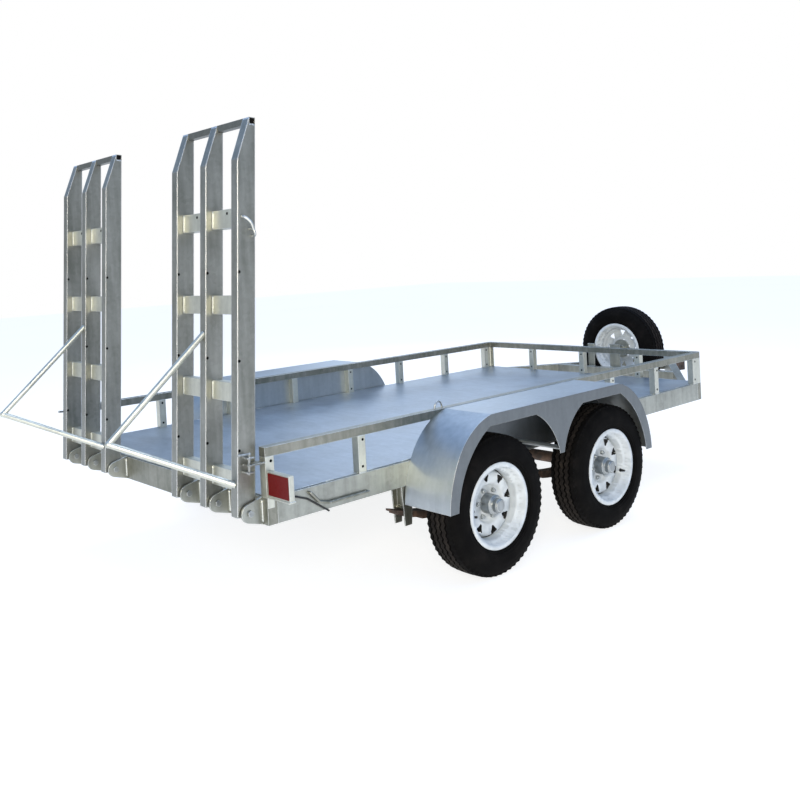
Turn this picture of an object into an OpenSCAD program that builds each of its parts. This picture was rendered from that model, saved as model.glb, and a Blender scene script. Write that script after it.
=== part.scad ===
// Twin-axle flat plant trailer with two stand-up loading ramps at the back.
// X runs across the trailer, Y points to the drawbar, Z is up. Millimetres.
// Heights are above the ground, lengths are from the rear face of the chassis.

/* [Chassis] */
// Width over the two side rails
chassis_width = 1824; // [1760:4:1880]
// Length of the chassis frame without the drawbar
chassis_length = 3364; // [3300:4:3420]
// Height of the chassis underside above the ground
chassis_bottom = 442; // [436:1:452]
// Depth of the chassis side rails
chassis_depth = 108; // [102:1:114]
// Thickness of the folded chassis sections
chassis_wall = 5; // [4:0.5:6]
// Width of the flanges of the side rails
chassis_flange = 46; // [44:1:54]
// Radius of the two front corners
corner_radius = 26; // [20:1:36]
// Length of the side returns of the front cross member
front_return = 60; // [54:1:80]
// Thickness of the deck sheet
deck_sheet = 4; // [3:0.5:6]
// Set-back of the deck sheet from the outer faces of the chassis
deck_inset = 10; // [9.5:0.5:14]
// Gap between the deck sheet and the posts that pass through it
post_gap = 1; // [0.5:0.5:2]
// Width of one cross bearer under the deck
bearer_width = 50; // [40:1:60]
// Depth of one cross bearer under the deck
bearer_depth = 78; // [60:1:84]
// Distance between the cross bearers
bearer_pitch = 408; // [380:2:412]

/* [Rails] */
// Width of the square rail posts
post_size = 40; // [34:1:42]
// Width of the top rail
rail_width = 40; // [34:1:42]
// Depth of the top rail
rail_depth = 38; // [30:1:42]
// Height of the top of the rail above the ground
rail_top = 748; // [735:1:760]
// Distance between the posts along the sides
post_pitch = 467; // [455:1:467]
// Distance between the posts across the headboard
head_pitch = 460; // [420:2:480]
// Distance of the last side posts behind the front face
last_post = 88; // [84:1:96]
// Thickness of the sheet that closes the front corners
corner_sheet = 8; // [6:0.5:9]

/* [Mudguards] */
// Width of a mudguard from the chassis side to its outer face
guard_width = 283; // [275:1:295]
// Thickness of the mudguard sheet
guard_sheet = 4; // [3:0.5:4.5]
// Half length of the mudguard at its lower ends
guard_reach = 782; // [775:1:800]
// Height of the lower ends of the mudguard
guard_low = 360; // [350:1:400]
// Height of the flat mudguard top
guard_top = 746; // [738:1:760]
// Radius of the tight arc at the shoulder of the mudguard
guard_tight = 335; // [328:1:342]
// Radius of the wide arc at the lower end of the mudguard
guard_wide = 500; // [490:1:510]
// Angle above the level at which the two arcs meet
guard_turn = 29.4; // [28:0.1:31]
// Height of the crown of the tight arc over the flat top
guard_crown = 8; // [6:0.5:10]
// Width of the outer skirt at its lower ends
skirt_low = 50; // [44:1:54]
// Depth of the outer skirt below the flat top
skirt_depth = 52; // [44:1:56]
// Height of the lower tip of the skirt between the wheels
skirt_tip = 481; // [470:1:520]
// Radius of the stay between the inner plate and the skirt
stay_radius = 11; // [9:0.5:12]
// Height of the stay above the tip of the skirt
stay_rise = 24; // [20:1:30]

/* [Wheels] */
// Outer diameter of the tyres
tyre_diameter = 640; // [630:2:648]
// Section width of the tyres
tyre_width = 184; // [178:1:186]
// Diameter over the rim flanges
rim_diameter = 390; // [386:1:394]
// Width over the rim flanges
rim_width = 167; // [162:1:170]
// Distance from the rear face to the rear axle
rear_axle = 1059; // [1040:1:1080]
// Distance between the two axles
wheelbase = 876; // [866:1:890]
// Gap between the tyre wall and the mudguard skirt
tyre_gap = 13; // [8:0.5:15]
// Radius of the hub barrel that stands out of the wheel
hub_radius = 45; // [40:1:48]
// Distance the hub cap reaches out from the middle of the wheel
hub_reach = 87; // [80:1:92]
// Radius of the stub axle inside the hub
stub_radius = 17; // [15:0.5:20]
// Radius of the circle of the holes in the wheel discs
disc_circle = 119; // [118:0.5:120]
// Distance that the pierced ring of the wheel disc stands out of its middle
disc_rise = 13; // [8:0.5:16]
// Angle by which the rear wheels are turned at rest
rear_turn = 8; // [0:0.5:44]
// Angle by which the front wheels are turned at rest
front_turn = 22.5; // [0:0.5:44]
// Radius of the wheel studs
stud_radius = 7; // [6:0.5:8]
// Radius of the circle of the wheel studs
stud_circle = 66; // [64:0.5:68]
// Outer radius of the axle tubes
axle_radius = 30; // [26:1:32]

/* [Springs] */
// Width of the leaf springs
leaf_width = 60; // [50:1:64]
// Thickness of one spring leaf
leaf_sheet = 9; // [8:0.5:10]
// Half length of the main spring leaf
leaf_reach = 395; // [385:1:400]
// Height of the ends of the main spring leaf over its middle
leaf_sag = 58; // [50:1:64]
// How much shorter the second leaf is at its ends, the next grow with the square
leaf_step = 18; // [14:1:20]
// Distance of the hangers from the axle along the trailer
hanger_reach = 320; // [310:1:330]
// Thickness of the plates of the hangers
hanger_sheet = 6; // [5:0.5:8]
// Depth of the hangers below the chassis
hanger_depth = 180; // [160:1:190]

/* [Ramps] */
// Distance of the hinge pins behind the rear face
hinge_back = 56; // [54:1:60]
// Height of the hinge pins above the ground
hinge_height = 497; // [492:1:500]
// Radius of the hinge pins
hinge_radius = 9; // [8:0.5:10]
// Forward lean of the ramps at rest in degrees
ramp_lean = 3.7; // [3:0.1:4.2]
// Set-back of the outer faces of the ramps from the chassis sides
ramp_inset = 52; // [50:1:60]
// Distance between the stringers of a ramp
stringer_pitch = 240; // [230:1:244]
// Depth of the ramp stringers
stringer_depth = 80; // [76:1:84]
// Flange width of the ramp stringers
stringer_flange = 45; // [38:1:48]
// Thickness of the ramp stringers
stringer_wall = 5; // [4:0.5:6]
// Length of the ramp above the hinge pins
ramp_reach = 1543; // [1530:1:1550]
// Length of the ramp below the hinge pins
ramp_tail = 14; // [12:1:18]
// Length of the slanted nose of a stringer
nose_rise = 169; // [150:1:180]
// Width of the square tube across the nose
nose_tube = 27; // [24:1:30]
// Height of the ramp rungs
rung_height = 76; // [70:1:80]
// Height of the lowest rung above the hinge pins
first_rung = 116; // [110:1:122]
// Distance between the rungs
rung_pitch = 345; // [335:1:350]
// Set-back of the rungs from the rear edge of the stringers
rung_inset = 32; // [26:1:36]

/* [Prop legs] */
// Radius of the prop leg tubes
leg_radius = 12.5; // [11:0.5:13]
// Distance of the foot behind the hinge pins square to the ramp
leg_back = 417; // [405:1:418]
// Height of the foot above the hinge pins along the ramp
leg_up = 273; // [265:1:274]
// Distance of the foot from the web of the middle stringer
leg_side = 90; // [70:1:100]
// Height of the lower leg end above the hinge pins
leg_low = 110; // [104:1:120]
// Height of the upper leg end above the hinge pins
leg_high = 691; // [660:1:720]

/* [Latches] */
// Radius of the latch pins
latch_radius = 6; // [5:0.5:7]
// Height of the latch fork above the ground
latch_height = 690; // [684:1:694]
// Thickness of the latch plates
latch_plate = 6; // [5:0.5:8]

/* [Running fits] */
// Gap between a pin or stub axle and the wall of its bore
pin_gap = 0.1; // [0.05:0.01:0.1]

/* [Drawbar and spare wheel] */
// Distance of the coupling nose ahead of the chassis
drawbar_reach = 1352; // [1320:2:1380]
// Depth of the drawbar members
drawbar_depth = 100; // [90:1:104]
// Width of the drawbar members
drawbar_width = 50; // [44:1:56]
// Distance between the drawbar members at the chassis
drawbar_spread = 1600; // [1560:4:1640]
// Wall of the drawbar members
bar_wall = 5; // [4:0.5:6]
// Length of the coupling head ahead of the drawbar members
coupling_length = 216; // [200:2:230]
// Half width of the coupling head
coupling_half = 34; // [32:1:40]
// Radius of the ball socket in the coupling
socket_radius = 25.4; // [25:0.1:26]
// Distance of the middle of the spare wheel ahead of the chassis
spare_ahead = 489; // [480:1:500]
// Height of the middle of the spare wheel
spare_height = 680; // [676:1:692]

/* [Lamps] */
// Width of a tail lamp
lamp_width = 146; // [136:1:150]
// Height of a tail lamp
lamp_height = 98; // [90:1:104]
// Depth of a tail lamp
lamp_depth = 26; // [24:1:32]
// Radius of the lamp cable
cable_radius = 4; // [3.5:0.5:5]
// Distance from the rear face at which the lamp cable turns under the side rail
cable_turn = 290; // [270:2:310]

/* [Rope rails] */
// Radius of the rope rails
rope_radius = 6; // [5:0.5:7]
// Distance of the rope rails from the rear face
rope_start = 200; // [190:2:220]
// Length of the rope rails
rope_length = 300; // [280:2:320]
// Height of the low run of the rope rails above the chassis underside
rope_low = 28; // [24:1:40]

/* [Hidden] */
$fn = 64;

galvanised = [0.66, 0.70, 0.70];
brown_steel = [0.27, 0.22, 0.20];
white_steel = [0.90, 0.91, 0.92];
black_rubber = [0.10, 0.10, 0.10];

half = chassis_width / 2;
ramp_outer = half - ramp_inset;
coupling_nose = chassis_length + drawbar_reach;
spare_place = chassis_length + spare_ahead;
chassis_top = chassis_bottom + chassis_depth;
deck_top = chassis_top + deck_sheet;
rail_low = rail_top - rail_depth;
guard_face = half + guard_width;
axle_height = tyre_diameter / 2;
front_axle = rear_axle + wheelbase;
guard_mid = (rear_axle + front_axle) / 2;
wheel_x = guard_face - guard_sheet - tyre_gap - tyre_width / 2;
// Local side view of a ramp: Y is square to it and Z runs up along it from the pins
string_rear = -0.6 * stringer_depth;
string_front = 0.4 * stringer_depth;
nose_back = string_front - nose_tube;
nose_run = nose_back - string_rear;
nose_kink = ramp_reach - nose_rise;
foot_x = stringer_flange / 2;
foot_y = -hinge_back - leg_back * cos(ramp_lean) + leg_up * sin(ramp_lean);
// The whole trailer is moved so that the middle of its length is at zero
mid_y = (foot_y - leg_radius - 1.5 + coupling_nose) / 2;

// Moves a shape from rear-face lengths to the middle of the trailer
module place() translate([0, -mid_y, 0]) children();

// Places a shape drawn round the hinge pins into the resting ramp
module ramp_place() place() translate([0, -hinge_back, hinge_height])
  rotate([-ramp_lean, 0, 0]) children();

// Box between two corner points
module box(a, b) translate(a) cube(b - a);

// Round bar between two points of one plane square to X or at any angle
module rod(a, b, r) {
  d = b - a;
  l = norm(d);
  translate(a) rotate([0, acos(d[2] / l), atan2(d[1], d[0])]) cylinder(h = l, r = r);
}

// Side view polygon given as Y and Z, made a plate between two X values
module side_plate(x0, x1, pts) translate([x0, 0, 0]) rotate([90, 0, 90])
  linear_extrude(height = x1 - x0) polygon(pts);

// Both sides of the trailer from one drawn for the right
module both() { children(); mirror([1, 0, 0]) children(); }

// C-shaped side rail, open to the inside
module rail_channel() difference() {
  box([half - chassis_flange, chassis_flange, chassis_bottom],
      [half, chassis_length - front_return, chassis_top]);
  box([half - chassis_flange - 1, chassis_flange - 1, chassis_bottom + chassis_wall],
      [half - chassis_wall, chassis_length, chassis_top - chassis_wall]);
}
module side_rail_right() color(galvanised) place() rail_channel();
module side_rail_left() color(galvanised) place() mirror([1, 0, 0]) rail_channel();

// Rear cross member, its flat web is the rear face of the chassis
module rear_crossmember() color(galvanised) place() difference() {
  box([-half, 0, chassis_bottom], [half, chassis_flange, chassis_top]);
  box([-half + chassis_wall, chassis_wall, chassis_bottom + chassis_wall],
      [half - chassis_wall, chassis_flange + 1, chassis_top - chassis_wall]);
}

// Plan of the chassis outline with round front corners, pulled in by some distance
module chassis_plan(inset, from) {
  r = max(corner_radius - inset, 2);
  front = chassis_length - inset;
  intersection() {
    union() {
      translate([-half + inset, from - 9]) square([2 * (half - inset), front - r - from + 9]);
      translate([-half + inset + r, from - 9]) square([2 * (half - inset - r), front - from + 9]);
      for (s = [-1, 1]) translate([s * (half - inset - r), front - r]) circle(r = r);
    }
    translate([-half - 1, from]) square([chassis_width + 2, chassis_length - from + 1]);
  }
}

// Front cross member with the two round corners of the frame
module front_crossmember() color(galvanised) place() difference() {
  translate([0, 0, chassis_bottom]) linear_extrude(height = chassis_depth) difference() {
    chassis_plan(0, chassis_length - front_return);
    chassis_plan(chassis_flange, chassis_length - front_return - 1);
  }
  translate([0, 0, chassis_bottom + chassis_wall])
    linear_extrude(height = chassis_depth - 2 * chassis_wall)
      chassis_plan(chassis_wall, chassis_length - front_return - 1);
}

// Cross bearers that carry the deck between the side rails
module cross_bearers() color(galvanised) place()
  for (i = [1 : 7]) translate([-half + chassis_flange, i * bearer_pitch - bearer_width / 2,
    chassis_top - bearer_depth]) cube([chassis_width - 2 * chassis_flange, bearer_width, bearer_depth]);

// Middles of the posts on the right, then of those across the headboard
side_spots = concat([for (i = [0 : 6]) [half - post_size / 2, i * post_pitch + post_size / 2]],
  [[half - post_size / 2, chassis_length - last_post]]);
head_spots = [for (i = [-1 : 1]) [i * head_pitch, chassis_length - post_size / 2]];
module post_plan(gap) {
  for (p = side_spots, s = [-1, 1]) translate([s * p[0], p[1]]) square(post_size + 2 * gap, center = true);
  for (p = head_spots) translate(p) square(post_size + 2 * gap, center = true);
}

// Flat deck sheet, notched round the posts
module deck_plate() color(galvanised) place() translate([0, 0, chassis_top])
  linear_extrude(height = deck_sheet) difference() {
    chassis_plan(deck_inset, deck_inset);
    post_plan(post_gap);
  }

// Top rail round three sides
module top_rail() color(galvanised) place() translate([0, 0, rail_low])
  linear_extrude(height = rail_depth) difference() {
    chassis_plan(0, 0);
    chassis_plan(rail_width, -1);
  }

// Posts between the chassis and the top rail, and the sheet that closes each front corner
module rail_posts() color(galvanised) place() translate([0, 0, chassis_top])
  linear_extrude(height = rail_low - chassis_top) {
    intersection() {
      post_plan(0);
      chassis_plan(0, 0);
    }
    difference() {
      chassis_plan(0, chassis_length - last_post);
      chassis_plan(corner_sheet, chassis_length - last_post - 1);
      square([2 * (half - post_size), 3 * chassis_length], center = true);
    }
  }

// Side view in Y and Z made a plate between two X values
module side_form(x0, x1) translate([x0, 0, 0]) rotate([90, 0, 90])
  linear_extrude(height = x1 - x0) children();

// Side view of the mudguard: a flat top, then a tight arc that runs on into a wide arc
guard_flat = guard_reach - guard_wide + (guard_wide - guard_tight) * cos(guard_turn);
guard_rise = guard_top + guard_crown - guard_tight;
module guard_end(t) {
  join_z = guard_rise + guard_tight * sin(guard_turn);
  translate([guard_flat, guard_rise]) circle(r = guard_tight - t);
  intersection() {
    translate([guard_reach - guard_wide, guard_rise - (guard_wide - guard_tight) * sin(guard_turn)])
      circle(r = guard_wide - t);
    translate([0, 0]) square([guard_reach, join_z]);
  }
}
module guard_side(t, low) intersection() {
  translate([-guard_reach, low]) square([2 * guard_reach, guard_top - t - low]);
  union() {
    guard_end(t);
    mirror([1, 0]) guard_end(t);
    translate([-guard_flat, low]) square([2 * guard_flat, guard_top]);
  }
}

// Cut-out of one wheel in the skirt: an arc beside the tip, a flat top and the outer arc
arch_start = 15;
arch_top = guard_top - skirt_depth;
tip_arc = 308;
tip_drop = 64;
arch_split = arch_start + tip_arc - 6;
outer_arc = guard_tight + 103;
outer_drop = 48;
module wheel_arch() {
  intersection() {
    translate([arch_start, 0]) square([arch_split - arch_start, arch_top]);
    union() {
      translate([arch_split, skirt_tip - tip_drop]) circle(r = tip_arc);
      translate([arch_start, 0]) square([tip_arc, skirt_tip - tip_drop]);
    }
  }
  intersection() {
    translate([arch_split - 1, 0]) square([guard_reach - skirt_low - arch_split + 1, arch_top]);
    translate([guard_reach - skirt_low - outer_arc, guard_low - outer_drop]) circle(r = outer_arc);
  }
}
inner_low = chassis_bottom + 12;

// Mudguard over both wheels: folded top sheet, outer skirt, inner plate and a stay
module guard() translate([0, guard_mid, 0]) {
  difference() {
    side_form(half, guard_face) guard_side(0, guard_low);
    side_form(half - 1, guard_face - guard_sheet) guard_side(guard_sheet, guard_low - 1);
    side_form(guard_face - guard_sheet - 1, guard_face + 1) {
      wheel_arch();
      mirror([1, 0]) wheel_arch();
      translate([-arch_start - 1, 0]) square([2 * arch_start + 2, skirt_tip]);
    }
  }
  difference() {
    side_form(half, half + guard_sheet) guard_side(guard_sheet, guard_low);
    box([half - 1, -guard_reach, guard_low - 2], [half + guard_sheet + 1, guard_reach, inner_low]);
  }
  translate([half + guard_sheet, 0, skirt_tip + stay_rise]) rotate([0, 90, 0])
    cylinder(h = guard_width - 2 * guard_sheet, r = stay_radius);
}
module mudguard_right() color(galvanised) place() guard();
module mudguard_left() color(galvanised) place() mirror([1, 0, 0]) guard();

// X of the right-hand face of each stringer web, from the right ramp outwards in
function web_x(i) = ramp_outer - i * stringer_pitch;
left_shift = -(2 * ramp_outer - 2 * stringer_pitch - stringer_flange);
lug_gap = 5;
lug_sheet = 10;
lug_nose = 38;

// Lugs behind the rear face, one at the right of every stringer
module lug(x) difference() {
  union() {
    side_plate(x, x + lug_sheet, [[0, chassis_bottom], [0, chassis_top],
      [-hinge_back - lug_nose * 0.35, hinge_height + lug_nose * 0.937],
      [-hinge_back - lug_nose * 0.35, hinge_height - lug_nose * 0.937]]);
    translate([x, -hinge_back, hinge_height]) rotate([0, 90, 0]) cylinder(h = lug_sheet, r = lug_nose);
  }
  translate([x - 1, -hinge_back, hinge_height]) rotate([0, 90, 0])
    cylinder(h = lug_sheet + 2, r = hinge_radius);
}
module hinge_lugs() color(galvanised) place() for (s = [0, left_shift], i = [0 : 2])
  lug(web_x(i) + s + lug_gap);

// Hinge pins held in the lugs, each passes through one stringer web
module hinge_pins() color(brown_steel) place() for (s = [0, left_shift], i = [0 : 2])
  translate([web_x(i) + s, -hinge_back, hinge_height]) rotate([0, 90, 0]) {
    translate([0, 0, -stringer_wall - 8]) cylinder(h = stringer_wall + 8 + lug_gap + lug_sheet, r = hinge_radius);
    translate([0, 0, lug_gap + lug_sheet]) cylinder(h = 8, r = 14, $fn = 6);
    translate([0, 0, -stringer_wall - 14]) cylinder(h = 6, r = 13);
  }

// Side view of a stringer with the slanted nose and the seat of the nose tube
stringer_side = [[string_rear, -ramp_tail], [string_front, -ramp_tail],
  [string_front, ramp_reach - nose_tube], [nose_back, ramp_reach - nose_tube],
  [nose_back, ramp_reach], [string_rear, nose_kink]];
// Side view of the hollow between the two flanges
slant = stringer_wall * sqrt(nose_run * nose_run + nose_rise * nose_rise) / nose_rise;
hollow_side = [[string_rear + stringer_wall, -ramp_tail - 1], [string_front - stringer_wall, -ramp_tail - 1],
  [string_front - stringer_wall, ramp_reach - nose_tube + 1],
  [nose_back, ramp_reach - nose_tube + 1],
  [nose_back, ramp_reach - slant * nose_rise / nose_run],
  [string_rear + stringer_wall, nose_kink + (stringer_wall - slant) * nose_rise / nose_run]];
module stringer(x) difference() {
  side_plate(x - stringer_flange, x, stringer_side);
  side_plate(x - stringer_flange - 1, x - stringer_wall, hollow_side);
  translate([x - stringer_wall - 1, 0, 0]) rotate([0, 90, 0])
    cylinder(h = stringer_wall + 2, r = hinge_radius + pin_gap);
}
module stringers(s) for (i = [0 : 2]) stringer(web_x(i) + s);

// Hollow rungs between the stringers of a ramp
module rung(x0, x1, z) difference() {
  box([x0, string_rear + rung_inset, z - rung_height / 2],
      [x1, string_front - stringer_wall, z + rung_height / 2]);
  box([x0 - 1, string_rear + rung_inset + 4, z - rung_height / 2 + 4],
      [x1 + 1, string_front - stringer_wall - 4, z + rung_height / 2 - 4]);
}
module rungs(s) {
  for (i = [0 : 3], j = [0 : 1])
    rung(web_x(j + 1) + s, web_x(j) - stringer_wall + s, first_rung + i * rung_pitch);
  nose(s);
}

// Square tube across the ramp nose
module nose(s) difference() {
  box([web_x(2) - stringer_flange + s, nose_back, ramp_reach - nose_tube],
      [web_x(0) + s, string_front, ramp_reach]);
  box([web_x(2) - stringer_flange + s - 1, nose_back + 3, ramp_reach - nose_tube + 3],
      [web_x(0) + s + 1, string_front - 3, ramp_reach - 3]);
}

// Prop leg that reaches the ground under the tail when the ramp is down
module leg(s) {
  foot = [web_x(1) - leg_side + s, -leg_back, leg_up];
  difference() {
    union() {
      rod([web_x(0) - foot_x + s, string_rear + leg_radius / 2, leg_low], foot, leg_radius);
      rod([web_x(1) - foot_x + s, string_rear + leg_radius / 2, leg_high], foot, leg_radius);
      translate(foot) sphere(r = leg_radius + 1.5);
    }
    box([web_x(2) + s - 100, string_rear, -50], [web_x(0) + s + 100, string_rear + 80, ramp_reach]);
  }
}

// Latch: two guide ears on the ramp, a drop pin and an open fork on the rear post
latch_x = half - 26;
latch_y = -0.15 * stringer_depth;
latch_up = (latch_height - hinge_height) / cos(ramp_lean);
module guide(x0) difference() {
  for (u = [-34, 22]) box([x0, latch_y - 16, latch_up + u], [latch_x + 14, latch_y + 16, latch_up + u + latch_plate]);
  translate([latch_x, latch_y, latch_up - 60]) cylinder(h = 120, r = latch_radius + pin_gap);
}
module latch_pin() {
  translate([latch_x, latch_y, latch_up - 40]) cylinder(h = 78, r = latch_radius);
  translate([latch_x, latch_y, latch_up + 38]) sphere(r = latch_radius + 1);
  translate([latch_x, latch_y, latch_up + 38]) rotate([90, 0, 0]) cylinder(h = 46, r = latch_radius - 1);
  translate([latch_x, latch_y - 46, latch_up + 38]) sphere(r = latch_radius);
}
fork_y = -hinge_back + latch_y * cos(ramp_lean) + latch_up * sin(ramp_lean);
module fork() difference() {
  box([ramp_outer + 6, fork_y - 18, latch_height - latch_plate / 2], [half, 0, latch_height + latch_plate / 2]);
  translate([latch_x, fork_y, latch_height - latch_plate]) cylinder(h = 2 * latch_plate, r = latch_radius + 6);
  box([latch_x - latch_radius - 6, fork_y - 19, latch_height - latch_plate],
      [latch_x + latch_radius + 6, fork_y, latch_height + latch_plate]);
}
module latch_forks() color(galvanised) place() both() fork();

module ramp_right_stringers() color(galvanised) ramp_place() stringers(0);
module ramp_right_rungs() color(galvanised) ramp_place() rungs(0);
module ramp_right_leg() color(galvanised) ramp_place() leg(0);
module ramp_right_latch_guide() color(galvanised) ramp_place() guide(ramp_outer);
module latch_pin_right() color(brown_steel) ramp_place() latch_pin();
module ramp_left_stringers() color(galvanised) ramp_place() stringers(left_shift);
module ramp_left_rungs() color(galvanised) ramp_place() rungs(left_shift);
module ramp_left_leg() color(galvanised) ramp_place() leg(left_shift);
module ramp_left_latch_guide() color(galvanised) ramp_place() mirror([1, 0, 0])
  guide(ramp_outer - stringer_flange + stringer_wall);
module latch_pin_left() color(brown_steel) ramp_place() mirror([1, 0, 0]) latch_pin();

// Round bar for ropes on each side rail near the tail
rope_slope = chassis_depth * 0.55;
module rope_rail() {
  x = half + 2 * rope_radius;
  high = chassis_bottom + rope_low + rope_slope;
  pts = [[x, rope_start, high], [x, rope_start + rope_slope * 0.7, high - rope_slope * 0.75],
    [x, rope_start + rope_slope * 1.6, high - rope_slope],
    [x, rope_start + rope_length, high - rope_slope]];
  for (i = [0 : 2]) rod(pts[i], pts[i + 1], rope_radius);
  for (p = pts) translate(p) sphere(r = rope_radius + 0.5);
  for (i = [0, 3]) rod([half, pts[i][1], pts[i][2]], pts[i], rope_radius);
}
module rope_rails() color(galvanised) place() both() rope_rail();

// Drawbar of two hollow members that meet under the coupling
bar_z = chassis_bottom + 4;
bar_end = coupling_nose - coupling_length;
bar_lean = sqrt(pow(drawbar_spread / 2 - coupling_half, 2) + pow(bar_end - chassis_length, 2)) / (bar_end - chassis_length);
bar_meet = 60;
module member_plan() polygon([[drawbar_spread / 2, chassis_length],
  [drawbar_spread / 2 - drawbar_width * bar_lean, chassis_length], [0, bar_end - bar_meet], [0, bar_end], [coupling_half, bar_end]]);
module member_hollow() polygon([[drawbar_spread / 2 - bar_wall * bar_lean, chassis_length - 1],
  [drawbar_spread / 2 - (drawbar_width - bar_wall) * bar_lean, chassis_length - 1],
  [coupling_half - 12, bar_end - 82], [coupling_half - 12, bar_end - 14]]);
module member() difference() {
  translate([0, 0, bar_z]) linear_extrude(height = drawbar_depth) member_plan();
  translate([0, 0, bar_z + bar_wall]) linear_extrude(height = drawbar_depth - 2 * bar_wall) member_hollow();
}
module drawbar_right() color(galvanised) place() member();
module drawbar_left() color(galvanised) place() mirror([1, 0, 0]) member();

// Coupling head at the front of the drawbar with its ball socket and hand lever
socket_y = coupling_nose - 44;
socket_low = bar_z - 30;
module coupling() color(brown_steel) place() difference() {
  union() {
    box([-coupling_half, bar_end, socket_low], [coupling_half, socket_y, bar_z + 36]);
    translate([0, socket_y, socket_low]) cylinder(h = 66, r = 44);
    box([-14, bar_end, bar_z + 36], [14, socket_y - 40, bar_z + 52]);
    translate([-14, bar_end + 40, bar_z + 52]) rotate([0, 90, 0]) cylinder(h = 28, r = 12);
  }
  translate([0, socket_y, socket_low - 1]) cylinder(h = 40, r = socket_radius);
}

// Tyre section from the bead to the crown, given as radius and distance from the wheel middle
tyre_wall = 12;
bead_radius = rim_diameter / 2 - 17;
function tyre_side(w, r) = [
  [bead_radius, rim_width / 2 - 6.5], [bead_radius + 18, rim_width / 2 - 6.5], [bead_radius + 28, w * 0.9],
  [bead_radius + 47, w * 0.965], [bead_radius + 74, w], [r - 55, w * 0.98], [r - 40, w * 0.93],
  [r - 26, w * 0.87], [r - 16, w * 0.78], [r - 9, w * 0.67], [r - 4, w * 0.5], [r, w * 0.2]];
function tyre_inside(w, r) = [
  [bead_radius, rim_width / 2 - 20], [bead_radius + 22, rim_width / 2 - 18], [bead_radius + 47, w * 0.957 - tyre_wall],
  [bead_radius + 74, w - tyre_wall], [r - 50, w * 0.95 - tyre_wall], [r - 30, w * 0.68], [r - 20, w * 0.5],
  [r - 15, w * 0.2]];
function flip(p) = [for (i = [len(p) - 1 : -1 : 0]) [p[i][0], -p[i][1]]];
tyre_half = tyre_width / 2;
tyre_r = tyre_diameter / 2;
module tyre() rotate([0, 90, 0]) rotate_extrude($fn = 96) polygon(concat(
  tyre_side(tyre_half, tyre_r), flip(tyre_side(tyre_half, tyre_r)),
  [for (p = flip(flip(tyre_inside(tyre_half, tyre_r)))) [p[0], -p[1]]],
  flip([for (p = tyre_inside(tyre_half, tyre_r)) [p[0], -p[1]]])));

// Rim barrel and disc, then the holes of the disc and the stud holes
rim_r = rim_diameter / 2;
module rim(turn) rotate([0, 90, 0]) rotate([0, 0, turn]) difference() {
  union() {
    rotate_extrude($fn = 96) polygon([
      [rim_r - 3, rim_width / 2], [rim_r, rim_width / 2 - 3], [rim_r, rim_width / 2 - 5.5],
      [bead_radius, rim_width / 2 - 6.5], [bead_radius, rim_width / 2 - 28],
      [bead_radius - 18, rim_width / 2 - 42], [bead_radius - 18, -rim_width / 2 + 50],
      [bead_radius, -rim_width / 2 + 36], [bead_radius, -rim_width / 2 + 6.5],
      [rim_r, -rim_width / 2 + 5.5], [rim_r, -rim_width / 2 + 3], [rim_r - 3, -rim_width / 2],
      [bead_radius - 4, -rim_width / 2], [bead_radius - 4, -rim_width / 2 + 33],
      [bead_radius - 22, -rim_width / 2 + 47], [bead_radius - 22, rim_width / 2 - 45],
      [bead_radius - 4, rim_width / 2 - 31], [bead_radius - 4, rim_width / 2]]);
    rotate_extrude($fn = 96) polygon([
      [hub_radius + 1, -3], [82, -3], [94, disc_rise], [138, disc_rise], [bead_radius - 26, -12],
      [bead_radius - 21, -12], [bead_radius - 21, -5], [bead_radius - 26, -5], [140, disc_rise + 6],
      [92, disc_rise + 6], [80, 3], [hub_radius + 1, 3]]);
  }
  for (i = [0 : 7]) rotate([0, 0, i * 45]) translate([disc_circle, 0, 0]) wheel_hole();
  for (i = [0 : 5]) rotate([0, 0, i * 60 + 15]) translate([stud_circle, 0, -20]) cylinder(h = 40, r = stud_radius + 0.3);
}
module wheel_hole() translate([0, 0, -20]) linear_extrude(height = 60) union() {
  polygon([[-15, 0], [-11, -6.5], [9.5, -18.5], [15, -14], [15, 14], [9.5, 18.5], [-11, 6.5]]);
  for (p = [[-9.5, 0], [9.5, 13], [9.5, -13]]) translate(p) circle(r = 6);
}

// Hub barrel with cap and studs, bored for the stub axle
module hub(turn) rotate([0, 90, 0]) rotate([0, 0, turn]) difference() {
  union() {
    rotate_extrude() polygon([[0, -62], [54, -62], [54, -18], [78, -12], [78, -3.2], [hub_radius, -3.2],
      [hub_radius, hub_reach - 34], [hub_radius - 8, hub_reach - 28], [hub_radius - 13, hub_reach - 28],
      [hub_radius - 13, hub_reach - 6], [hub_radius - 20, hub_reach], [0, hub_reach]]);
    for (i = [0 : 5]) rotate([0, 0, i * 60 + 15]) translate([stud_circle, 0, -4]) {
      cylinder(h = 26, r = stud_radius);
      translate([0, 0, 7.2]) cylinder(h = 13, r = stud_radius + 4, $fn = 6);
    }
  }
  translate([0, 0, -63]) cylinder(h = 100, r = stub_radius + pin_gap);
}

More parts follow.
